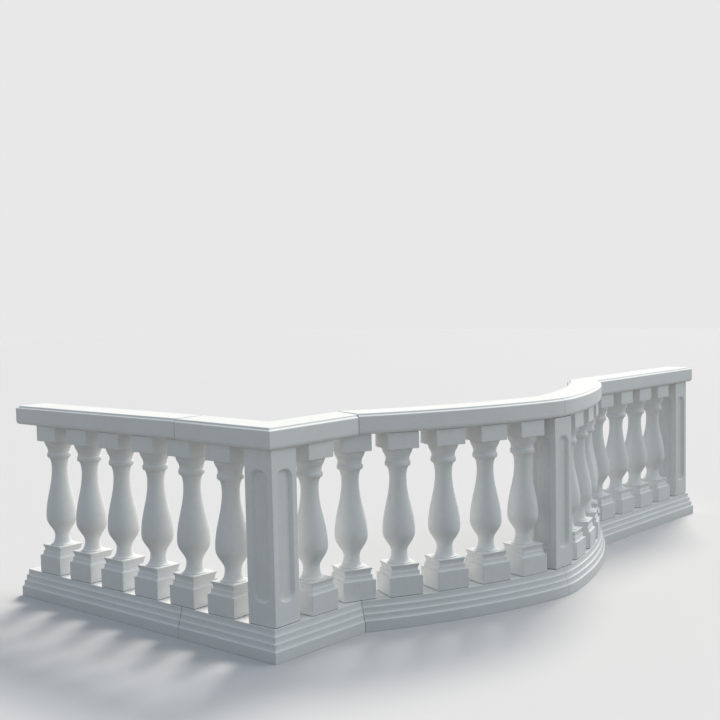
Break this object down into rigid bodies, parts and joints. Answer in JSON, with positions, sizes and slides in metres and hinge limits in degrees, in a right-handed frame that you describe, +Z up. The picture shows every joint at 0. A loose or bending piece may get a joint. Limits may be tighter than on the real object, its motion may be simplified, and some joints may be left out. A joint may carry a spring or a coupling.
{
  "type": "stone balustrade",
  "caption": "L-shaped garden balustrade with a bowed front: vase balusters and panelled piers between a stepped plinth and a flat moulded coping.",
  "frame": {"origin": "on the ground under the centre of the corner pier", "axes": "+X along the front wall towards the bow and the far wall, +Y along the return, +Z up; the outer side of the front wall faces -Y"},
  "size_m": [4.0966, 2.3063, 1],
  "materials": {
    "plinth_stone": "matte cast stone",
    "coping_stone": "matte cast stone",
    "pier_stone": "matte cast stone",
    "baluster_stone": "matte cast stone"
  },
  "bodies": {
    "root": {"return_plinth": "plinth_stone", "corner_plinth": "plinth_stone", "near_bow_plinth": "plinth_stone", "far_bow_plinth": "plinth_stone", "far_plinth": "plinth_stone", "return_coping": "coping_stone", "corner_coping": "coping_stone", "near_bow_coping": "coping_stone", "far_bow_coping": "coping_stone", "far_coping": "coping_stone", "corner_pier": "pier_stone", "bow_pier": "pier_stone", "end_pier": "pier_stone", "return_baluster_1": "baluster_stone", "return_baluster_2": "baluster_stone", "return_baluster_3": "baluster_stone", "return_baluster_4": "baluster_stone", "return_baluster_5": "baluster_stone", "return_baluster_6": "baluster_stone", "front_baluster_1": "baluster_stone", "front_baluster_2": "baluster_stone", "near_bow_baluster_1": "baluster_stone", "near_bow_baluster_2": "baluster_stone", "near_bow_baluster_3": "baluster_stone", "near_bow_baluster_4": "baluster_stone", "far_bow_baluster_1": "baluster_stone", "far_bow_baluster_2": "baluster_stone", "far_bow_baluster_3": "baluster_stone", "far_bow_baluster_4": "baluster_stone", "far_baluster_1": "baluster_stone", "far_baluster_2": "baluster_stone", "far_baluster_3": "baluster_stone", "far_baluster_4": "baluster_stone"}
  },
  "joints": []
}
